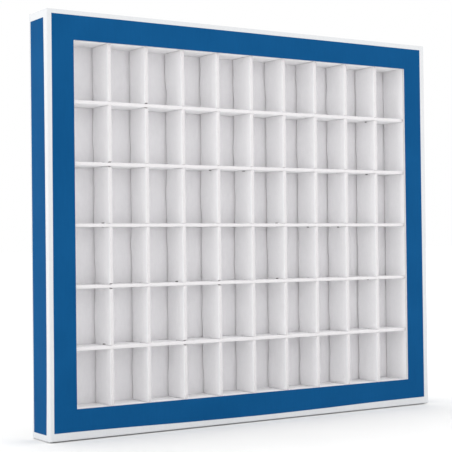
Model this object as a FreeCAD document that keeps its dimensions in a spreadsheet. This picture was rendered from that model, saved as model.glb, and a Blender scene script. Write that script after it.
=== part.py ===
import FreeCAD, Part
import os
import re
import Sketcher

# A storage box of white board that stands upright on its long edge. Its base is a back panel with two
# rings of walls on it, and the inner ring holds a grid of slotted dividers that makes the cells. A
# cover slides over the outer ring, and the window in its front shows every cell.
# Frame: +X to the right, +Y from the front to the back, +Z up. The origin is under the middle of the box.

doc = FreeCAD.newDocument("storage_box")

# ---------------------------------------------------------------- driving dimensions, in millimetres

SIZES = [
    ("box_width", 450, "outside, left to right"),
    ("box_height", 390.6, "outside, bottom to top"),
    ("box_depth", 38, "outside, front to back"),
    ("board", 3, "gauge of the cover's board"),
    ("panel", 2, "gauge of the back panel"),
    ("wall", 2, "gauge of the base walls, inside the cover"),
    ("slat", 3, "gauge of the dividers and of the liner walls"),
    ("print_sheet", 0.25, "thickness of the blue sheets, let in flush with the board"),
    ("cells_across", 10, "cells in a row"),
    ("cells_up", 6, "cells in a column"),
    ("cell_width", 36.8, "clear width of a cell"),
    ("cell_height", 53.4, "clear height of a cell"),
    ("grid_right", -1.1, "how far the cells sit to the right of the box's middle"),
    ("grid_up", 0.9, "how far the cells sit above the box's middle"),
    ("row_drop", 0.9, "how far the row dividers sit below an even spacing"),
    ("window_lip", 0.3, "how far the front board's window covers the liner walls' inner faces"),
    ("end_gap", 0.6, "space between a divider's end and the liner wall"),
    ("slot_gap", 0.3, "space on each side of a divider in the slot that it crosses"),
    ("liner_gap", 0.2, "space between the front board and the liner walls"),
    ("divider_gap", 0.3, "space in front of the dividers, and behind the row dividers"),
    ("column_rear_gap", 1.0, "space between the column dividers and the back panel"),
    ("sleeve_gap", 0.4, "space all round between the cover and the base walls"),
    ("skirt_gap", 0.2, "space between the cover's skirts and the back panel"),
    ("front_left_margin", 4.3, "white beside the front print, on the left"),
    ("front_right_margin", 6.3, "white beside the front print, on the right"),
    ("front_top_margin", 4.6, "white above the front print"),
    ("front_bottom_margin", 8.4, "white below the front print"),
    ("side_front_margin", 6.5, "white between a side print and the box's front"),
    ("side_rear_margin", 1.0, "white between a side print and the cover's rear rim"),
    ("side_top_margin", 7.5, "white above a side print, and beside the top and bottom prints"),
    ("side_bottom_margin", 6.3, "white below a side print"),
]

sheet = doc.addObject("Spreadsheet::Sheet", "sizes")
for row, (alias, value, meaning) in enumerate(SIZES, start=1):
    sheet.set(f"A{row}", meaning)
    sheet.set(f"B{row}", str(value))
    sheet.setAlias(f"B{row}", alias)
doc.recompute()


def bound(expression):
    """The expression with each of its words pointing at the cell of that name."""
    return re.sub(r"[a-z_]{3,}", lambda word: "sizes." + word.group(), str(expression))


# ---------------------------------------------------------------- derived places, as expressions

column_pitch = "(cell_width + slat)"
row_pitch = "(cell_height + slat)"
well_width = f"(cells_across * {column_pitch} - slat)"
well_height = f"(cells_up * {row_pitch} - slat)"
well_left = f"(grid_right - {well_width} / 2)"
well_bottom = f"(box_height / 2 + grid_up - {well_height} / 2)"

left_side = "(-box_width / 2)"
front_side = "(-box_depth / 2)"
panel_front = "(box_depth / 2 - panel)"

skirt_front = f"({front_side} + board)"
skirt_depth = f"({panel_front} - skirt_gap - {skirt_front})"

wall_inset = "(board + sleeve_gap)"
wall_front = f"({front_side} + {wall_inset})"
wall_depth = f"({panel_front} - {wall_front})"

liner_front = f"({skirt_front} + liner_gap)"
liner_depth = f"({panel_front} - {liner_front})"

divider_front = f"({skirt_front} + divider_gap)"
column_depth = f"({panel_front} - column_rear_gap - {divider_front})"
row_depth = f"({panel_front} - divider_gap - {divider_front})"
slot_width = "(slat + 2 * slot_gap)"
column_slot_depth = f"(({column_depth} + slot_gap) / 2)"
row_slot_depth = f"({row_depth} - {column_slot_depth} + slot_gap)"

# Two rectangles in the plane of the front, each as its left, low, width and height.
window_in_front = (
    f"{well_left} + window_lip - {left_side}",
    f"{well_bottom} + window_lip",
    f"{well_width} - 2 * window_lip",
    f"{well_height} - 2 * window_lip",
)
print_in_front = (
    "front_left_margin",
    "front_bottom_margin",
    "box_width - front_left_margin - front_right_margin",
    "box_height - front_bottom_margin - front_top_margin",
)


# ---------------------------------------------------------------- ways to make a piece


def place(piece, corner):
    """Puts the piece's own origin at the corner, given as three expressions."""
    for axis, expression in zip("xyz", corner):
        piece.setExpression(f".Placement.Base.{axis}", bound(expression))


def block(name, corner, size):
    """A plain board from its lowest corner and its length along X, Y and Z."""
    piece = doc.addObject("Part::Box", name)
    piece.Label = name
    for side, expression in zip(("Length", "Width", "Height"), size):
        piece.setExpression(side, bound(expression))
    place(piece, corner)


def new_body(name, corner):
    """An empty body whose own origin lies at the corner."""
    body = doc.addObject("PartDesign::Body", name)
    body.Label = name
    place(body, corner)
    return body


def new_sketch(body, name, plane, offset="0"):
    """A sketch on one of the body's origin planes, moved along the plane's normal by the offset."""
    sketch = body.newObject("Sketcher::SketchObject", f"{body.Label}_{name}")
    origin_plane = next(item for item in body.Origin.OriginFeatures if item.Role == plane)
    sketch.AttachmentSupport = (origin_plane, "")
    sketch.MapMode = "FlatFace"
    sketch.setExpression(".AttachmentOffset.Base.z", bound(offset))
    return sketch


def add_rectangle(sketch, name, left, low, width, height):
    """A rectangle held by its lower left corner and two sides, all four bound to expressions."""
    first = sketch.GeometryCount
    corners = [FreeCAD.Vector(x, y, 0) for x, y in ((0, 0), (1, 0), (1, 1), (0, 1))]
    for side in range(4):
        sketch.addGeometry(Part.LineSegment(corners[side], corners[(side + 1) % 4]), False)
    for side in range(4):
        following = first + (side + 1) % 4
        sketch.addConstraint(Sketcher.Constraint("Coincident", first + side, 2, following, 1))
        direction = ("Horizontal", "Vertical")[side % 2]
        sketch.addConstraint(Sketcher.Constraint(direction, first + side))
    distances = [
        ("left", "DistanceX", -1, 1, first, 1, left),
        ("low", "DistanceY", -1, 1, first, 1, low),
        ("width", "DistanceX", first, 1, first, 2, width),
        ("height", "DistanceY", first + 1, 1, first + 1, 2, height),
    ]
    for label, kind, start, start_point, end, end_point, expression in distances:
        constraint = Sketcher.Constraint(kind, start, start_point, end, end_point, 1.0)
        index = sketch.addConstraint(constraint)
        sketch.renameConstraint(index, f"{name}_{label}")
        sketch.setExpression(f"Constraints.{name}_{label}", bound(expression))


def add_pad(body, sketch, thickness, against_normal=False):
    """Thickens the sketch into the body's first solid."""
    pad = body.newObject("PartDesign::Pad", f"{body.Label}_pad")
    pad.Profile = sketch
    pad.Reversed = against_normal
    pad.setExpression("Length", bound(thickness))
    body.Tip = pad


def add_pocket(body, sketch, depth, along_normal=False):
    """Cuts the sketch into the body. It cuts against the sketch's normal unless told otherwise."""
    pocket = body.newObject("PartDesign::Pocket", f"{sketch.Label}_pocket")
    pocket.Profile = sketch
    pocket.Reversed = along_normal
    pocket.setExpression("Length", bound(depth))
    body.Tip = pocket
    return pocket


def repeat(body, feature, sketch_axis, step, count):
    """Repeats the feature along an axis of its own sketch."""
    pattern = body.newObject("PartDesign::LinearPattern", f"{body.Label}_pattern")
    pattern.Originals = [feature]
    pattern.Direction = (feature.Profile[0], [sketch_axis])
    pattern.setExpression("Length", bound(f"{step} * ({count} - 1)"))
    pattern.setExpression("Occurrences", bound(count))
    body.Tip = pattern


# ---------------------------------------------------------------- the cover


def make_front_board():
    """The front of the cover: a board with the window cut through it and the print's bed in its face."""
    body = new_body("cover_front_board", (left_side, front_side, "0"))
    outline = new_sketch(body, "outline", "XZ_Plane")
    add_rectangle(outline, "outline", "0", "0", "box_width", "box_height")
    add_pad(body, outline, "board", against_normal=True)
    window = new_sketch(body, "window", "XZ_Plane")
    add_rectangle(window, "window", *window_in_front)
    add_pocket(body, window, "board")
    bed = new_sketch(body, "print_bed", "XZ_Plane")
    add_rectangle(bed, "bed", *print_in_front)
    add_pocket(body, bed, "print_sheet")


def make_front_print():
    """The blue sheet on the front, with the window cut out of it."""
    body = new_body("front_print", (left_side, front_side, "0"))
    outline = new_sketch(body, "outline", "XZ_Plane")
    add_rectangle(outline, "outline", *print_in_front)
    add_rectangle(outline, "window", *window_in_front)
    add_pad(body, outline, "print_sheet", against_normal=True)


def make_skirt(side, plane, corner, outline, printed, outer_at_far_face):
    """One side of the cover with its blue sheet. The outline's and the sheet's rectangles lie in the
    plane, and the outer face is the near or the far one along X or Z."""
    face = "board" if outer_at_far_face else "0"
    skirt = new_body(f"cover_skirt_{side}", corner)
    shape = new_sketch(skirt, "outline", plane)
    add_rectangle(shape, "outline", "0", "0", *outline)
    add_pad(skirt, shape, "board")
    bed = new_sketch(skirt, "print_bed", plane, face)
    add_rectangle(bed, "bed", *printed)
    add_pocket(skirt, bed, "print_sheet", along_normal=not outer_at_far_face)

    cover_sheet = new_body(f"print_{side}", corner)
    shape = new_sketch(cover_sheet, "outline", plane, face)
    add_rectangle(shape, "outline", *printed)
    add_pad(cover_sheet, shape, "print_sheet", against_normal=outer_at_far_face)


def make_skirts():
    """The left and right skirts stand the box's whole height, and the other two fit between them."""
    margin = "side_front_margin - board"
    printed_depth = f"{skirt_depth} - ({margin}) - side_rear_margin"
    printed_height = "box_height - side_top_margin - side_bottom_margin"
    upright = (skirt_depth, "box_height")
    upright_print = (margin, "side_bottom_margin", printed_depth, printed_height)
    level = ("box_width - 2 * board", skirt_depth)
    level_margin = "side_top_margin - board"
    level_print = (level_margin, margin, "box_width - 2 * side_top_margin", printed_depth)

    right_corner = ("box_width / 2 - board", skirt_front, "0")
    make_skirt("left", "YZ_Plane", (left_side, skirt_front, "0"), upright, upright_print, False)
    make_skirt("right", "YZ_Plane", right_corner, upright, upright_print, True)
    inner_left = f"{left_side} + board"
    make_skirt("bottom", "XY_Plane", (inner_left, skirt_front, "0"), level, level_print, False)
    top_corner = (inner_left, skirt_front, "box_height - board")
    make_skirt("top", "XY_Plane", top_corner, level, level_print, True)


# ---------------------------------------------------------------- the base


def make_back_panel():
    """The back of the box, which also stands behind the cover's skirts."""
    block("back_panel", (left_side, panel_front, "0"), ("box_width", "panel", "box_height"))


def make_ring(name, left, front, low, width, depth, height, gauge):
    """Four walls on the back panel around a width by height space: two upright ones, and a top and a
    bottom one between them. The corner is the lowest outer one."""
    upright = (gauge, depth, height)
    level = (f"{width} - 2 * {gauge}", depth, gauge)
    block(f"{name}_left", (left, front, low), upright)
    block(f"{name}_right", (f"{left} + {width} - {gauge}", front, low), upright)
    block(f"{name}_bottom", (f"{left} + {gauge}", front, low), level)
    block(f"{name}_top", (f"{left} + {gauge}", front, f"{low} + {height} - {gauge}"), level)


def make_base_walls():
    """The outer ring, which the cover slides over."""
    width = f"(box_width - 2 * {wall_inset})"
    height = f"(box_height - 2 * {wall_inset})"
    left = f"({left_side} + {wall_inset})"
    make_ring("base_wall", left, wall_front, wall_inset, width, wall_depth, height, "wall")


def make_liner_walls():
    """The inner ring, whose inner faces close the outermost cells."""
    width = f"({well_width} + 2 * slat)"
    height = f"({well_height} + 2 * slat)"
    left = f"({well_left} - slat)"
    low = f"({well_bottom} - slat)"
    make_ring("liner_wall", left, liner_front, low, width, liner_depth, height, "slat")


# ---------------------------------------------------------------- the dividers


def make_column_divider(number):
    """An upright divider, with a slot from its front edge to mid-depth for each row divider."""
    left = f"{well_left} + {number} * {column_pitch} - slat"
    body = new_body(f"column_divider_{number}", (left, divider_front, f"{well_bottom} + end_gap"))
    outline = new_sketch(body, "outline", "YZ_Plane")
    add_rectangle(outline, "outline", "0", "0", column_depth, f"{well_height} - 2 * end_gap")
    add_pad(body, outline, "slat")
    slot = new_sketch(body, "slot", "YZ_Plane")
    lowest = "cell_height - row_drop - end_gap - slot_gap"
    add_rectangle(slot, "slot", "0", lowest, column_slot_depth, slot_width)
    doc.recompute()
    pocket = add_pocket(body, slot, "slat", along_normal=True)
    repeat(body, pocket, "V_Axis", row_pitch, "(cells_up - 1)")


def make_row_divider(number):
    """A level divider, with a slot from its rear edge to mid-depth for each column divider."""
    low = f"{well_bottom} + {number} * {row_pitch} - slat - row_drop"
    body = new_body(f"row_divider_{number}", (f"{well_left} + end_gap", divider_front, low))
    outline = new_sketch(body, "outline", "XY_Plane")
    add_rectangle(outline, "outline", "0", "0", f"{well_width} - 2 * end_gap", row_depth)
    add_pad(body, outline, "slat")
    slot = new_sketch(body, "slot", "XY_Plane")
    leftmost = "cell_width - end_gap - slot_gap"
    slot_front = f"{row_depth} - {row_slot_depth}"
    add_rectangle(slot, "slot", leftmost, slot_front, slot_width, row_slot_depth)
    doc.recompute()
    pocket = add_pocket(body, slot, "slat", along_normal=True)
    repeat(body, pocket, "H_Axis", column_pitch, "(cells_across - 1)")


# ---------------------------------------------------------------- the whole box

make_front_board()
make_front_print()
make_skirts()
make_back_panel()
make_base_walls()
make_liner_walls()
for column in range(1, int(sheet.cells_across)):
    make_column_divider(column)
for row in range(1, int(sheet.cells_up)):
    make_row_divider(row)
doc.recompute()


def check_document(pieces):
    """Stops on a failed object, a cut that took nothing away, or a piece that is not one sound solid."""
    smallest_cut = 1  # cubic millimetre
    for item in doc.Objects:
        if "Invalid" in item.State or "Error" in item.State:
            raise RuntimeError(f"{item.Name} failed: {item.State}")
        if item.TypeId == "PartDesign::Pocket":
            removed = item.BaseFeature.Shape.Volume - item.Shape.Volume
            if removed < smallest_cut:
                raise RuntimeError(f"{item.Name} cuts nothing")
    for piece in pieces:
        shape = piece.Shape
        if shape.isNull() or not shape.isValid() or len(shape.Solids) != 1:
            raise RuntimeError(f"{piece.Label} is not one sound solid")


pieces = [item for item in doc.Objects if item.TypeId in ("PartDesign::Body", "Part::Box")]
check_document(pieces)
os.makedirs("parts", exist_ok=True)
for piece in pieces:
    piece.Shape.exportStep(f"parts/{piece.Label}.step")
    print(f"{piece.Label:22s} {piece.Shape.Volume:12.1f} mm3")
print(len(pieces), "pieces")
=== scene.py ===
import math
import random

import bmesh
import bpy
from mathutils import Matrix, Vector, noise


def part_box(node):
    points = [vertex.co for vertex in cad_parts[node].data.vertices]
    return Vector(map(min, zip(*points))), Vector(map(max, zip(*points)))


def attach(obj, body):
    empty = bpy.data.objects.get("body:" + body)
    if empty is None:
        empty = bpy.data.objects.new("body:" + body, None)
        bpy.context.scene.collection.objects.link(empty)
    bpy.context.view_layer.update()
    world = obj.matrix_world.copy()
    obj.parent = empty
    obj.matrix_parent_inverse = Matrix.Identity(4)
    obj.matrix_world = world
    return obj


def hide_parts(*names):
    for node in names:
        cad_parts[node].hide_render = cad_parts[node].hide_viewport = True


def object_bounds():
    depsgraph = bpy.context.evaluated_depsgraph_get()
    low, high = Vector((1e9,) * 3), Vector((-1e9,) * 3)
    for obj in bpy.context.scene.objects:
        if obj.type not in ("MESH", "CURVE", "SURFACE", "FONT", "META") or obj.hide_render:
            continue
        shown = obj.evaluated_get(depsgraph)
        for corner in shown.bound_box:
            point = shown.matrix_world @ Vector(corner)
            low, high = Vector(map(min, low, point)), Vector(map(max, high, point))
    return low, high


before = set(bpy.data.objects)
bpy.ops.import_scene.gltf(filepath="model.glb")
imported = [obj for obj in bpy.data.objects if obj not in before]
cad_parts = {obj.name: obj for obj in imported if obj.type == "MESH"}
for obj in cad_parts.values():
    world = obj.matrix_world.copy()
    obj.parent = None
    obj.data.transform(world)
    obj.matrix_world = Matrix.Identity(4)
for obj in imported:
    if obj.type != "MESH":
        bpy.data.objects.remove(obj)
cad_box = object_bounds()

MM = 0.001
SIDES = ("left", "right", "top", "bottom")
COLUMNS = range(1, 10)
ROWS = range(1, 6)

# Each board lies in a plane: its own u and v run along two axes of the box, and w through its thickness.
FACING = (0, 2, 1)
UPRIGHT = (1, 2, 0)
LEVEL = (0, 1, 2)
PLANE = {"left": UPRIGHT, "right": UPRIGHT, "top": LEVEL, "bottom": LEVEL}

SHEET = 0.06 * MM               # how far a blue sheet stands proud of the white board
WRAP_RADIUS = 1.2 * MM          # the paper-wrapped outer edges of the cover
RIM_RADIUS = 0.4 * MM           # the same at the cover's rear rim
WINDOW_RADIUS = 0.25 * MM       # the cut edges of the window
BACK_RADIUS = 0.6 * MM          # the edges of the back board
CUT_RADIUS = 0.2 * MM           # a cut edge of bare board
CUT_REACH = 1.5 * CUT_RADIUS    # how near a cut edge a point counts as part of its rounding
TOUCH = 0.01 * MM               # how near a plane a point counts as in it
TURN_IN = 14 * MM               # how far the cover's paper is turned in over its rear rim
PAPER = 0.1 * MM                # the thickness of that paper
FRONT_LIFT = 1.25 * MM          # how far the cover's lower front edge is rolled up off the surface
END_LIFT = 0.45 * MM            # the same at the two ends
LIFT_REACH = 11 * MM            # how far in from an edge its roll begins
LINER_GAP = 0.9 * MM            # how far the left and right liner boards stand off the back

ROUNDING = 1e-6                 # of a step, so that a rounding error adds no step
SHARP = math.radians(60)        # an edge is rounded when its faces turn by more than this
CREASE = math.radians(35)       # an edge is drawn sharp when its faces turn by more than this

box_low, box_high = (Vector(corner) for corner in cad_box)


# ---------------------------------------------------------------- mesh helpers


def evenly(breaks, step):
    """Values through all the breaks, with no gap between neighbours larger than the step."""
    values = [breaks[0]]
    for low, high in zip(breaks, breaks[1:]):
        count = max(1, math.ceil((high - low) / step - ROUNDING))
        values += [low + (high - low) * part / count for part in range(1, count + 1)]
    return values


def put(plane, u, v, w):
    """The point of the box that lies at u, v, w of a board in the plane."""
    point = Vector((0, 0, 0))
    for axis, value in zip(plane, (u, v, w)):
        point[axis] = value
    return point


def slab(plane, us, vs, span, is_open=None):
    """A board, closed all round, made of the cells between the us and the vs, less those whose middle
    is open. The span is the board's lowest and highest w."""
    mesh = bmesh.new()
    corners = {}

    def corner(i, j, side):
        if (i, j, side) not in corners:
            corners[i, j, side] = mesh.verts.new(put(plane, us[i], vs[j], span[side]))
        return corners[i, j, side]

    def solid(i, j):
        if not (0 <= i < len(us) - 1 and 0 <= j < len(vs) - 1):
            return False
        return is_open is None or not is_open((us[i] + us[i + 1]) / 2, (vs[j] + vs[j + 1]) / 2)

    for i in range(len(us) - 1):
        for j in range(len(vs) - 1):
            if not solid(i, j):
                continue
            square = [(i, j), (i + 1, j), (i + 1, j + 1), (i, j + 1)]
            for side in (0, 1):
                mesh.faces.new([corner(*place, side) for place in square])
            beyond = [(i, j - 1), (i + 1, j), (i, j + 1), (i - 1, j)]
            for index, neighbour in enumerate(beyond):
                if not solid(*neighbour):
                    start, end = square[index], square[(index + 1) % 4]
                    wall = [corner(*start, 0), corner(*end, 0), corner(*end, 1), corner(*start, 1)]
                    mesh.faces.new(wall)
    bmesh.ops.recalc_face_normals(mesh, faces=mesh.faces)
    return mesh


def round_edges(mesh, radius, segments, chosen=None):
    """Rounds the chosen sharp edges, and clears up the faces that this leaves with no area. An edge is
    chosen by its two end points."""
    sharp = [
        edge for edge in mesh.edges
        if len(edge.link_faces) == 2 and edge.calc_face_angle() > SHARP
        and (chosen is None or chosen(edge.verts[0].co, edge.verts[1].co))
    ]
    bmesh.ops.bevel(
        mesh, geom=sharp, offset=radius, segments=segments, profile=0.5, affect="EDGES", clamp_overlap=True
    )
    bmesh.ops.dissolve_degenerate(mesh, dist=TOUCH / 5, edges=mesh.edges)


def bend(mesh, shift):
    """Moves every point by what shift says for it."""
    moves = [(vertex, shift(vertex.co)) for vertex in mesh.verts]
    for vertex, move in moves:
        vertex.co += move


def wave(place, length, seed):
    """A smooth unevenness from about -1 to 1 that changes over the length along a board. Each seed reads
    its own line of the noise."""
    gain = 1.6
    line = 17.3 * seed
    return gain * noise.noise(Vector((place / length, line, 4.1)))


def finish_piece(mesh, name, body, nodes, materials, pick=None):
    """Turns the mesh into an object with smooth rounded edges that rides on the body and stands for the
    nodes. pick gives the number of a face's material, which is 0 without it."""
    data = bpy.data.meshes.new(name)
    for item in materials:
        data.materials.append(item)
    if pick is not None:
        for face in mesh.faces:
            face.material_index = pick(face)
    mesh.to_mesh(data)
    mesh.free()
    data.shade_smooth()
    data.set_sharp_from_angle(angle=CREASE)
    piece = bpy.data.objects.new(name, data)
    bpy.context.scene.collection.objects.link(piece)
    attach(piece, body)
    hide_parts(*nodes)


# ---------------------------------------------------------------- materials


def add_node(tree, kind, inputs=None, **settings):
    """A node with its settings and its inputs, each a value or another node's output."""
    node = tree.nodes.new(kind)
    for name, value in settings.items():
        setattr(node, name, value)
    for name, value in (inputs or {}).items():
        if isinstance(value, bpy.types.NodeSocket):
            tree.links.new(value, node.inputs[name])
        else:
            node.inputs[name].default_value = value
    return node


def new_material(name, specular):
    """A material with only its shader, and the box's own coordinates in metres."""
    item = bpy.data.materials.new(name)
    item.use_nodes = True
    tree = item.node_tree
    shader = tree.nodes["Principled BSDF"]
    shader.inputs["Specular IOR Level"].default_value = specular
    place = tree.nodes.new("ShaderNodeTexCoord").outputs["Object"]
    return item, tree, shader, place


def noise_at(tree, place, scale, detail=2.0, stretch=(1, 1, 1)):
    """A noise with that many features to the metre, longer along an axis whose stretch is under 1."""
    scaled = add_node(tree, "ShaderNodeMapping", {"Vector": place, "Scale": stretch})
    node = add_node(
        tree, "ShaderNodeTexNoise", {"Vector": scaled.outputs["Vector"], "Scale": scale, "Detail": detail}
    )
    return node.outputs["Fac"]


def ramp(tree, factor, dark, light, low=0.3, high=0.7):
    """A colour from dark to light as the factor goes from low to high."""
    node = add_node(tree, "ShaderNodeValToRGB", {"Fac": factor})
    node.color_ramp.elements[0].position = low
    node.color_ramp.elements[1].position = high
    node.color_ramp.elements[0].color = (*dark, 1)
    node.color_ramp.elements[1].color = (*light, 1)
    return node.outputs["Color"]


def between(tree, factor, low, high):
    """A value from low to high as a noise goes over its usual range."""
    inputs = {"Value": factor, "From Min": 0.3, "From Max": 0.7, "To Min": low, "To Max": high}
    return add_node(tree, "ShaderNodeMapRange", inputs).outputs["Result"]


def multiply(tree, one, other):
    """One colour times another."""
    node = add_node(tree, "ShaderNodeMix", data_type="RGBA", blend_type="MULTIPLY")
    node.inputs["Factor"].default_value = 1.0
    tree.links.new(one, node.inputs["A"])
    tree.links.new(other, node.inputs["B"])
    return node.outputs["Result"]


def bump(tree, height, depth, base=None):
    """A normal roughened by the height, which is worth the depth in metres."""
    inputs = {"Height": height, "Strength": 1.0, "Distance": depth}
    if base is not None:
        inputs["Normal"] = base
    return add_node(tree, "ShaderNodeBump", inputs).outputs["Normal"]


def paper(name, dark, light, roughness, specular, fibre=0.03 * MM):
    """Coated board or paper: faint clouds a few centimetres across, fine fibres and a pressed surface.
    roughness is its lowest and highest, and fibre is how far the fibres stand out."""
    item, tree, shader, place = new_material(name, specular)
    clouds = noise_at(tree, place, scale=26, detail=3.0)
    fibres = noise_at(tree, place, scale=620, detail=4.0, stretch=(1, 1, 0.35))
    grain = noise_at(tree, place, scale=2600)
    shade = ramp(tree, fibres, (0.965, 0.965, 0.97), (1, 1, 1))
    tree.links.new(multiply(tree, ramp(tree, clouds, dark, light), shade), shader.inputs["Base Color"])
    tree.links.new(between(tree, grain, *roughness), shader.inputs["Roughness"])
    pressed = bump(tree, fibres, fibre)
    tree.links.new(bump(tree, grain, fibre * 0.4, pressed), shader.inputs["Normal"])
    return item


def cut_edge(name, across, dark, light):
    """The cut edge of a board: pressed plies that run along it, with loose fibres between them. across
    is the axis through the board's thickness."""
    item, tree, shader, place = new_material(name, specular=0.08)
    stretch = [0.06, 0.06, 0.06]
    stretch[across] = 1.0
    plies = noise_at(tree, place, scale=1900, detail=3.0, stretch=stretch)
    fluff = noise_at(tree, place, scale=1500, detail=4.0)
    shade = ramp(tree, fluff, (0.94, 0.935, 0.94), (1, 1, 1))
    tree.links.new(multiply(tree, ramp(tree, plies, dark, light), shade), shader.inputs["Base Color"])
    tree.links.new(between(tree, fluff, 0.75, 0.95), shader.inputs["Roughness"])
    ridged = bump(tree, plies, 0.06 * MM)
    tree.links.new(bump(tree, fluff, 0.05 * MM, ridged), shader.inputs["Normal"])
    return item


def blue_print(name):
    """Blue ink on coated paper: a close, slightly uneven coverage with pin holes of lighter ink."""
    item, tree, shader, place = new_material(name, specular=0.012)
    clouds = noise_at(tree, place, scale=22, detail=4.0)
    streaks = noise_at(tree, place, scale=420, detail=3.0, stretch=(1, 1, 0.12))
    grain = noise_at(tree, place, scale=2400)
    ink = ramp(tree, clouds, (0.0043, 0.073, 0.207), (0.0056, 0.082, 0.228))
    shade = ramp(tree, streaks, (0.93, 0.94, 0.95), (1, 1, 1))
    specks = ramp(tree, grain, (1, 1, 1), (1.25, 1.12, 1.08), low=0.62, high=0.8)
    tree.links.new(multiply(tree, multiply(tree, ink, shade), specks), shader.inputs["Base Color"])
    tree.links.new(between(tree, streaks, 0.42, 0.56), shader.inputs["Roughness"])
    pressed = bump(tree, streaks, 0.02 * MM)
    tree.links.new(bump(tree, grain, 0.012 * MM, pressed), shader.inputs["Normal"])
    return item


WHITE_PAPER = paper(
    "white_paper", (0.65, 0.661, 0.674), (0.665, 0.676, 0.689), roughness=(0.5, 0.66), specular=0.12
)
DIVIDER_BOARD = paper(
    "divider_board", (0.893, 0.886, 0.895), (0.915, 0.909, 0.917), roughness=(0.6, 0.78), specular=0.04
)
BACK_LINING = paper(
    "back_lining", (0.855, 0.845, 0.86), (0.88, 0.87, 0.885), roughness=(0.6, 0.78), specular=0.04
)
INNER_BOARD = paper(
    "inner_board", (0.70, 0.69, 0.685), (0.76, 0.75, 0.745), roughness=(0.7, 0.85), specular=0.06,
    fibre=0.05 * MM,
)
PRINT = blue_print("blue_print")
# Painted light: the upright boards' cut edges are painted a little darker and the level boards' a little
# lighter than the front board's, for how the light falls on them.
WHITE_EDGE = {
    FACING: cut_edge("white_edge_y", 1, (0.69, 0.675, 0.685), (0.75, 0.735, 0.745)),
    UPRIGHT: cut_edge("white_edge_x_painted_shade", 0, (0.66, 0.645, 0.655), (0.72, 0.705, 0.715)),
    LEVEL: cut_edge("white_edge_z_painted_light", 2, (0.70, 0.685, 0.695), (0.76, 0.745, 0.755)),
}
# Painted shade: the dividers' rear, end and slot edges are a dark grey, which deepens the shadow lines
# where their rear edges stand off the back.
SHADE_GREY_EDGE = {
    UPRIGHT: cut_edge("grey_edge_x_painted_shade", 0, (0.27, 0.26, 0.26), (0.38, 0.37, 0.365)),
    LEVEL: cut_edge("grey_edge_z_painted_shade", 2, (0.27, 0.26, 0.26), (0.38, 0.37, 0.365)),
}


# ---------------------------------------------------------------- the cover


def roll_up(point):
    """The cover's lower edges are rolled up a little, so that it stands on the middle of its underside."""
    low_down = max(0.0, 1 - (point.z - box_low.z) / LIFT_REACH)
    from_front = max(0.0, 1 - (point.y - box_low.y) / LIFT_REACH)
    from_end = max(0.0, 1 - (box_high.x - abs(point.x)) / LIFT_REACH)
    rise = max(FRONT_LIFT * from_front ** 2, END_LIFT * from_end ** 2)
    return Vector((0, 0, low_down * rise))


def find_window():
    """The window's lowest and highest corners, read from the front sheet, whose hole it shares."""
    low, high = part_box("front_print")
    middle = (low + high) / 2
    reach = (high - low) / 2
    points = [vertex.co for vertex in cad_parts["front_print"].data.vertices]
    inner = [p for p in points if all(abs(p[axis] - middle[axis]) < reach[axis] - MM for axis in (0, 2))]
    window_low = Vector((min(p.x for p in inner), low.y, min(p.z for p in inner)))
    window_high = Vector((max(p.x for p in inner), low.y, max(p.z for p in inner)))
    return window_low, window_high


WINDOW_LOW, WINDOW_HIGH = find_window()


def in_window(x, z, slack=0.0):
    """Whether a place on the front is inside the window, or within the slack of it."""
    return (
        WINDOW_LOW.x - slack < x < WINDOW_HIGH.x + slack
        and WINDOW_LOW.z - slack < z < WINDOW_HIGH.z + slack
    )


def make_front_board():
    """The front of the cover, wrapped in white paper that rounds its outer edges, with a cut window."""
    low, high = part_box("cover_front_board")
    us = evenly((low.x + SHEET, WINDOW_LOW.x, WINDOW_HIGH.x, high.x - SHEET), step=20 * MM)
    band_end = low.z + LIFT_REACH
    vs = evenly((low.z + SHEET, band_end, WINDOW_LOW.z, WINDOW_HIGH.z, high.z - SHEET), step=20 * MM)
    mesh = slab(FACING, us, vs, (low.y + SHEET, high.y), in_window)

    def at_window(*ends):
        return all(in_window(end.x, end.z, slack=WINDOW_RADIUS + 0.1 * MM) for end in ends)

    def outside(*ends):
        behind = all(abs(end.y - high.y) < SHEET for end in ends)
        return not at_window(*ends) and not behind

    round_edges(mesh, WRAP_RADIUS, 6, outside)
    round_edges(mesh, WINDOW_RADIUS, 2, at_window)
    bend(mesh, roll_up)

    def material(face):
        if at_window(face.calc_center_median()):
            return 1
        return 2 if face.normal.y > 0.9 else 0

    finish_piece(
        mesh, "front_board", "cover", ["cover_front_board"],
        [WHITE_PAPER, WHITE_EDGE[FACING], INNER_BOARD], material,
    )


def make_front_sheet():
    """The blue border on the front. It was cut by hand: its left edge leans, its top edge runs down to
    the right, and its lower edge dips in the middle."""
    low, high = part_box("front_print")
    band = 8 * MM
    us = evenly((low.x, low.x + band, WINDOW_LOW.x, WINDOW_HIGH.x, high.x), step=12 * MM)
    vs = evenly((low.z, low.z + band, WINDOW_LOW.z, WINDOW_HIGH.z, high.z - band, high.z), step=12 * MM)
    mesh = slab(FACING, us, vs, (low.y, low.y + SHEET), in_window)
    dip = 2.0 * MM
    lean = 0.9 * MM
    fall = 0.7 * MM
    waver = 0.06 * MM
    lower_waver = 0.08 * MM

    def shift(point):
        along = (point.x - low.x) / (high.x - low.x)
        rising = (point.z - low.z) / (high.z - low.z)
        near_left = max(0.0, 1 - (point.x - low.x) / band)
        near_bottom = max(0.0, 1 - (point.z - low.z) / band)
        near_top = max(0.0, 1 - (high.z - point.z) / band)
        aside = lean * (rising - 0.3) + waver * wave(point.z, length=60 * MM, seed=2)
        lower = dip * math.sin(math.pi * along) ** 2 + lower_waver * wave(point.x, length=60 * MM, seed=3)
        upper = fall * (0.5 - along) + waver * wave(point.x, length=70 * MM, seed=4)
        return Vector((near_left * aside, 0, near_top * upper - near_bottom * lower))

    bend(mesh, shift)
    finish_piece(mesh, "front_sheet", "cover", ["front_print"], [PRINT])


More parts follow.
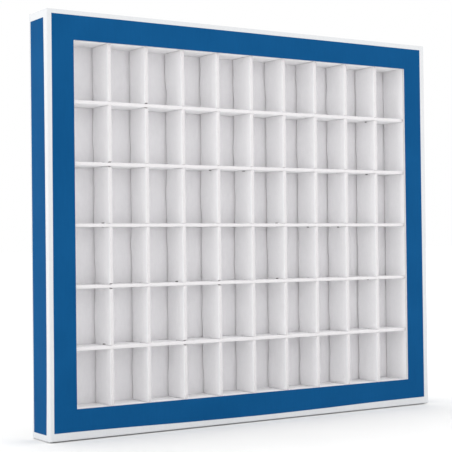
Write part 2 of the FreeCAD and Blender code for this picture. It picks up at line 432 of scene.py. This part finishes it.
def make_side_board(side):
    """One side of the cover. Its outer edges carry on the front board's rounding, and inside it the
    paper ends some way in from the rim."""
    node = f"cover_skirt_{side}"
    low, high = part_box(node)
    plane = PLANE[side]
    w_axis = plane[2]
    outward = 1 if side in ("right", "top") else -1
    span = [low[w_axis], high[w_axis]]
    span[outward > 0] -= outward * SHEET
    outer, inner = span[outward > 0], span[outward < 0]
    if plane == UPRIGHT:
        low, high = low + Vector((0, 0, SHEET)), high - Vector((0, 0, SHEET))
    paper_end = high.y - TURN_IN
    depths = evenly((low.y, box_low.y + LIFT_REACH, paper_end - PAPER, paper_end, high.y), step=4 * MM)
    if plane == UPRIGHT:
        lengths = evenly((low.z, low.z + LIFT_REACH, high.z), step=16 * MM)
        mesh = slab(plane, depths, lengths, span)
    else:
        lengths = evenly((low.x, low.x + LIFT_REACH, high.x - LIFT_REACH, high.x), step=16 * MM)
        mesh = slab(plane, lengths, depths, span)

    def on_outer_face(*ends):
        return all(abs(end[w_axis] - outer) < TOUCH for end in ends)

    def at_corner(*ends):
        above = all(end.z > high.z - TOUCH for end in ends)
        below = all(end.z < low.z + TOUCH for end in ends)
        return plane == UPRIGHT and on_outer_face(*ends) and (above or below)

    def at_rim(*ends):
        return all(end.y > high.y - TOUCH for end in ends) and on_outer_face(*ends)

    round_edges(mesh, WRAP_RADIUS, 6, at_corner)
    round_edges(mesh, RIM_RADIUS, 3, at_rim)

    def shift(point):
        step = Vector((0, 0, 0))
        if abs(point[w_axis] - inner) < TOUCH and point.y < paper_end - PAPER / 2:
            step[w_axis] = outward * PAPER
        return step + roll_up(point)

    bend(mesh, shift)

    def material(face):
        middle = face.calc_center_median()
        inside = abs(middle[w_axis] - inner) < 2 * PAPER
        return 1 if inside and middle.y < paper_end - PAPER else 0

    finish_piece(
        mesh, f"side_board_{side}", "cover", [node], [WHITE_PAPER, INNER_BOARD], material
    )


def make_side_sheet(side, rng):
    """The blue sheet on one side of the cover. Its front edge was cut by hand: it bulges to the front
    in the middle, and each end of it falls back by its own amount."""
    low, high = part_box(f"print_{side}")
    plane = PLANE[side]
    w_axis = plane[2]
    long_axis = 2 if plane == UPRIGHT else 0
    outward = 1 if side in ("right", "top") else -1
    outer = (high if outward > 0 else low)[w_axis]
    span = sorted((outer, outer - outward * SHEET))
    band = 6 * MM
    depths = evenly((low.y, low.y + band, high.y), step=4 * MM)
    lengths = evenly((low[long_axis], high[long_axis]), step=10 * MM)
    lines = (depths, lengths) if plane == UPRIGHT else (lengths, depths)
    mesh = slab(plane, *lines, span)
    bulge = rng.uniform(0.4, 0.7) * MM
    first = rng.uniform(1.2, 1.9) * MM
    last = rng.uniform(0.2, 0.5) * MM
    end_share = 0.25

    def shift(point):
        near_front = max(0.0, 1 - (point.y - low.y) / band)
        along = (point[long_axis] - low[long_axis]) / (high[long_axis] - low[long_axis])
        at_first = max(0.0, 1 - along / end_share)
        at_last = max(0.0, 1 - (1 - along) / end_share)
        back = first * at_first ** 2 + last * at_last ** 2
        forward = bulge * math.sin(math.pi * along)
        return Vector((0, near_front * (back - forward), 0)) + roll_up(point)

    bend(mesh, shift)
    finish_piece(mesh, f"side_sheet_{side}", "cover", [f"print_{side}"], [PRINT])


# ---------------------------------------------------------------- the base


def make_back_board():
    """The back of the box, a flat wrapped board with softened edges."""
    low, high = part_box("back_panel")
    us = evenly((low.x, high.x), step=20 * MM)
    vs = evenly((low.z, high.z), step=20 * MM)
    mesh = slab(FACING, us, vs, (low.y, high.y))
    round_edges(mesh, BACK_RADIUS, 3)
    finish_piece(
        mesh, "back_board", "base", ["back_panel"],
        [WHITE_PAPER, BACK_LINING], lambda face: 1 if face.normal.y < -0.9 else 0,
    )


def make_wall(node, side, name, face_material, rear_gap=0.0):
    """One wall of either ring, with its edges as they were cut. Its rear edge stands off the back by
    about the rear gap."""
    low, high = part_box(node)
    plane = PLANE[side]
    u_axis, v_axis, w_axis = plane
    us = evenly((low[u_axis], high[u_axis]), step=12 * MM)
    vs = evenly((low[v_axis], high[v_axis]), step=12 * MM)
    mesh = slab(plane, us, vs, (low[w_axis], high[w_axis]))
    round_edges(mesh, CUT_RADIUS, 2)

    def shift(point):
        if point.y < high.y - CUT_REACH:
            return Vector((0, 0, 0))
        return Vector((0, -rear_gap * (1 + 0.4 * wave(point.z, length=40 * MM, seed=6)), 0))

    bend(mesh, shift)
    finish_piece(
        mesh, name, "base", [node], [face_material, WHITE_EDGE[plane]],
        lambda face: 0 if abs(face.normal[w_axis]) > 0.75 else 1,
    )


# ---------------------------------------------------------------- the dividers


def find_slots(node, along):
    """Where a divider's slots end, and the middle of each along the divider, from its CAD shape."""
    low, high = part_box(node)
    points = [vertex.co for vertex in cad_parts[node].data.vertices]
    inner = [p for p in points if low.y + MM < p.y < high.y - MM]
    edges = sorted({round(p[along], 5) for p in inner})
    middles = [(one + other) / 2 for one, other in zip(edges[0::2], edges[1::2])]
    return inner[0].y, middles


COLUMN_SLOT = 1.62 * MM    # half the width of a slot in a column divider
ROW_SLOT = 1.8 * MM        # the same in a row divider
MOUTH = 3 * MM             # how far into a slot its mouth flares
RELIEF = 7 * MM            # how far a slot's punched end reaches
RELIEF_STEP = 0.4 * MM     # the length over which the punched end widens
FLARES = (0.0, 0.05, 0.05, 0.1, 0.1, 1.1)    # how far a mouth may flare on each side, in mm
RELIEFS = (0.0, 0.0, 0.0, 0.1, 0.1, 0.95)    # how much wider a punched end may be on one side, in mm
END_REACH = 0.45 * MM      # how far a divider's ends reach towards the liner walls past its CAD shape
REAR_START = 0.65          # the share of a divider's depth at which its rear part starts
HELD = 14 * MM             # how far from a crossing divider the rear part starts to sway freely
WAVER_LENGTH = 30 * MM     # the length of the wavers in its rear edge
SWAY_LENGTH = 24 * MM      # the length of the sways of its rear part
BOW_LENGTH = 120 * MM      # the length of the bows of the whole divider


def draw_slot_cuts(rng, count):
    """How each slot was cut: how far its mouth flares, and how much wider its punched end is below and
    above. Most fit closely, and a few were torn wide."""
    cuts = []
    for slot in range(count):
        flare = rng.choice(FLARES) * MM
        reliefs = [rng.choice(RELIEFS) * MM for side in (0, 1)]
        cuts.append((flare, reliefs))
    return cuts


def slot_opening(aside, deep, mouth, end, cut):
    """How far a slot's edge gives way, aside from its middle. deep runs from the mouth to the end."""
    flare, reliefs = cut
    at_mouth = max(0.0, 1 - abs(deep - mouth) / MOUTH)
    at_end = 1.0 if abs(deep - end) < RELIEF - RELIEF_STEP / 4 else 0.0
    return math.copysign(flare * at_mouth + reliefs[aside > 0] * at_end, aside)


def make_slat(node, name, body, plane, slots_to_front, half_width, bow, rng):
    """A divider with its slots. It leans and bows a little, and sways at the rear between its crossings.
    Its rear edge was cut by hand and wavers, so that it stands about a millimetre off the back."""
    low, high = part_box(node)
    along = 2 if plane == UPRIGHT else 0
    through = plane[2]
    slot_end, middles = find_slots(node, along)
    mouth = low.y if slots_to_front else high.y
    inward = 1 if slots_to_front else -1
    punched = slot_end - inward * RELIEF
    stops = (mouth, mouth + inward * MOUTH, punched, punched + inward * RELIEF_STEP, slot_end)
    depths = evenly(sorted({low.y, high.y, *stops}), step=5 * MM)
    edges = [middle + side * half_width for middle in middles for side in (-1, 1)]
    lengths = evenly([low[along] - END_REACH, *edges, high[along] + END_REACH], step=6 * MM)
    lines = (depths, lengths) if plane == UPRIGHT else (lengths, depths)

    def in_slot(u, v):
        deep, place = (u, v) if plane == UPRIGHT else (v, u)
        reached = (slot_end - deep) * inward > 0
        return reached and any(abs(place - middle) < half_width for middle in middles)

    mesh = slab(plane, *lines, (low[through], high[through]), in_slot)
    round_edges(mesh, CUT_RADIUS, 2)
    cuts = draw_slot_cuts(rng, len(middles))
    lean = rng.uniform(-1, 1) * bow.lean
    seed = rng.uniform(0, 100)

    def shift(point):
        move = Vector((0, 0, 0))
        place = point[along]
        depth = (point.y - low.y) / (high.y - low.y)
        rear = max(0.0, (depth - REAR_START) / (1 - REAR_START))
        hollow = bow.rear_gap + bow.rear_waver * wave(place, WAVER_LENGTH, seed)
        move.y = -rear * max(0.0, hollow)
        for middle, cut in zip(middles, cuts):
            aside = place - middle
            if abs(aside) < half_width + CUT_REACH:
                move[along] = slot_opening(aside, point.y, mouth, slot_end, cut)
        front_lean = lean * max(0.0, 1 - 2 * depth)
        free = min(1.0, min(abs(place - middle) for middle in middles) / HELD)
        sway = bow.rear_sway * free * rear * wave(place, SWAY_LENGTH, seed + 40)
        move[through] = front_lean + sway + bow.through * wave(place, BOW_LENGTH, seed + 20)
        return move

    bend(mesh, shift)

    def material(face):
        if abs(face.normal[through]) > 0.75:
            return 0
        # Front cut edges are white; every other cut edge takes the dark grey painted shade.
        return 1 if face.normal.y < -0.3 and face.calc_center_median().y < low.y + MM else 2

    finish_piece(
        mesh, name, body, [node],
        [DIVIDER_BOARD, WHITE_EDGE[plane], SHADE_GREY_EDGE[plane]], material,
    )


class ColumnBow:
    """How far an upright divider strays from flat."""
    lean = 0.3 * MM          # at its front edge
    through = 0.08 * MM      # all over
    rear_sway = 0.9 * MM     # at its rear edge, between the rows
    rear_gap = 0.7 * MM      # how far its rear edge was cut short
    rear_waver = 0.9 * MM    # how unevenly it was cut


class RowBow:
    """The same for a level divider."""
    lean = 0.0
    through = 0.06 * MM
    rear_sway = 0.0
    rear_gap = 0.3 * MM
    rear_waver = 0.25 * MM


# ---------------------------------------------------------------- the studio


FLOOR_SIZE = 30            # half the floor's width, in metres
FLOOR_GLOW = 0.14          # how strongly the floor glows away from the box
GLOW_START = 0.02          # how far from the box the glow begins, in metres
GLOW_END = 0.3             # how far from the box it is full, in metres
GLOW_ASIDE = 2.0           # how many metres each metre to the side counts for in both
ROOM_LIGHT = 1.2           # the strength of the even light
SOFTBOX_DISTANCE = 3.0     # from the middle of the box, in metres
SOFTBOX_SIZE = 1.6         # the width of a softbox, in metres


def make_camera():
    """The camera stands to the left of the box, a little below its middle, and looks slightly up."""
    azimuth, elevation, roll = (math.radians(angle) for angle in (-33.006, -0.845, -0.661))
    back = Vector((
        math.sin(azimuth) * math.cos(elevation),
        -math.cos(azimuth) * math.cos(elevation),
        math.sin(elevation),
    ))
    level_right = (-back).cross(Vector((0, 0, 1))).normalized()
    level_up = level_right.cross(-back)
    right = math.cos(roll) * level_right + math.sin(roll) * level_up
    up = math.cos(roll) * level_up - math.sin(roll) * level_right
    low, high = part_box("cover_front_board")
    front_middle = Vector(((low.x + high.x) / 2, low.y, (low.z + high.z) / 2))
    distance = 1234.0 * MM
    to_left = 29.8 * MM
    down = 1.1 * MM
    place = front_middle + distance * back - to_left * right - down * up
    data = bpy.data.cameras.new("camera")
    data.lens = 98.96
    data.sensor_width = 36.0
    data.clip_start = 0.01
    camera = bpy.data.objects.new("camera", data)
    bpy.context.scene.collection.objects.link(camera)
    camera.matrix_world = Matrix.Translation(place) @ Matrix((right, up, back)).transposed().to_4x4()
    bpy.context.scene.camera = camera


def distance_from_box(tree, place):
    """How far a place on the floor is from the box's footprint, to the side weighed more."""

    def vector_math(operation, *vectors):
        return add_node(tree, "ShaderNodeVectorMath", dict(enumerate(vectors)), operation=operation)

    aside = vector_math("ABSOLUTE", place).outputs["Vector"]
    past = vector_math("SUBTRACT", aside, (box_high.x, box_high.y, 0)).outputs["Vector"]
    only = vector_math("MAXIMUM", past, (0, 0, 0)).outputs["Vector"]
    weighed = vector_math("MULTIPLY", only, (GLOW_ASIDE, 1, 1)).outputs["Vector"]
    return vector_math("LENGTH", weighed).outputs["Value"]


def make_floor():
    """A white floor that glows a little away from the box, so that it runs into the white room."""
    mesh = bmesh.new()
    bmesh.ops.create_grid(mesh, x_segments=1, y_segments=1, size=FLOOR_SIZE)
    data = bpy.data.meshes.new("floor")
    mesh.to_mesh(data)
    mesh.free()
    floor = bpy.data.objects.new("floor", data)
    bpy.context.scene.collection.objects.link(floor)
    item, tree, shader, place = new_material("floor", specular=0.0)
    colour = ramp(tree, noise_at(tree, place, scale=9), (0.85, 0.85, 0.845), (0.87, 0.87, 0.865))
    tree.links.new(colour, shader.inputs["Base Color"])
    shader.inputs["Roughness"].default_value = 0.9
    beyond = distance_from_box(tree, place)
    glow = add_node(tree, "ShaderNodeMapRange", {
        "Value": beyond, "From Min": GLOW_START, "From Max": GLOW_END, "To Min": 0.0, "To Max": FLOOR_GLOW,
    })
    shader.inputs["Emission Color"].default_value = (1, 1, 1, 1)
    tree.links.new(glow.outputs["Result"], shader.inputs["Emission Strength"])
    data.materials.append(item)


def make_room():
    """An even white light from all round, seen by the camera as plain white."""
    world = bpy.data.worlds.new("studio")
    bpy.context.scene.world = world
    world.use_nodes = True
    tree = world.node_tree
    room = tree.nodes["Background"]
    room.inputs["Color"].default_value = (1, 1, 1, 1)
    room.inputs["Strength"].default_value = ROOM_LIGHT
    seen = add_node(tree, "ShaderNodeBackground", {"Color": (1, 1, 1, 1), "Strength": 1.0})
    path = tree.nodes.new("ShaderNodeLightPath")
    mix = tree.nodes.new("ShaderNodeMixShader")
    tree.links.new(path.outputs["Is Camera Ray"], mix.inputs["Fac"])
    tree.links.new(room.outputs["Background"], mix.inputs[1])
    tree.links.new(seen.outputs["Background"], mix.inputs[2])
    tree.links.new(mix.outputs["Shader"], tree.nodes["World Output"].inputs["Surface"])
    bpy.context.scene.view_settings.view_transform = "Standard"


def add_softbox(name, to_left, upward, power):
    """A large soft light, so many degrees round to the left of the front and so many up."""
    aside, rise = math.radians(to_left), math.radians(upward)
    aim = Vector((0, 0, 200 * MM))
    away = Vector((-math.sin(aside) * math.cos(rise), -math.cos(aside) * math.cos(rise), math.sin(rise)))
    data = bpy.data.lights.new(name, "AREA")
    data.energy = power
    data.size = SOFTBOX_SIZE
    lamp = bpy.data.objects.new(name, data)
    bpy.context.scene.collection.objects.link(lamp)
    lamp.location = aim + SOFTBOX_DISTANCE * away
    lamp.rotation_euler = (-away).to_track_quat("-Z", "Y").to_euler()


make_camera()
make_front_board()
make_front_sheet()
rng = random.Random(11)
for side in SIDES:
    make_side_board(side)
    make_side_sheet(side, rng)
    make_wall(f"base_wall_{side}", side, f"base_board_{side}", WHITE_PAPER)
    stand_off = LINER_GAP if PLANE[side] == UPRIGHT else 0.0
    make_wall(f"liner_wall_{side}", side, f"liner_board_{side}", DIVIDER_BOARD, stand_off)
make_back_board()
for number in COLUMNS:
    node = f"column_divider_{number}"
    make_slat(node, f"column_slat_{number}", "insert", UPRIGHT, True, COLUMN_SLOT, ColumnBow, rng)
for number in ROWS:
    node = f"row_divider_{number}"
    make_slat(node, f"row_slat_{number}", f"row_{number}", LEVEL, False, ROW_SLOT, RowBow, rng)
make_floor()
make_room()
add_softbox("left_softbox", to_left=92, upward=5, power=22)
add_softbox("right_softbox", to_left=-42, upward=5, power=11)
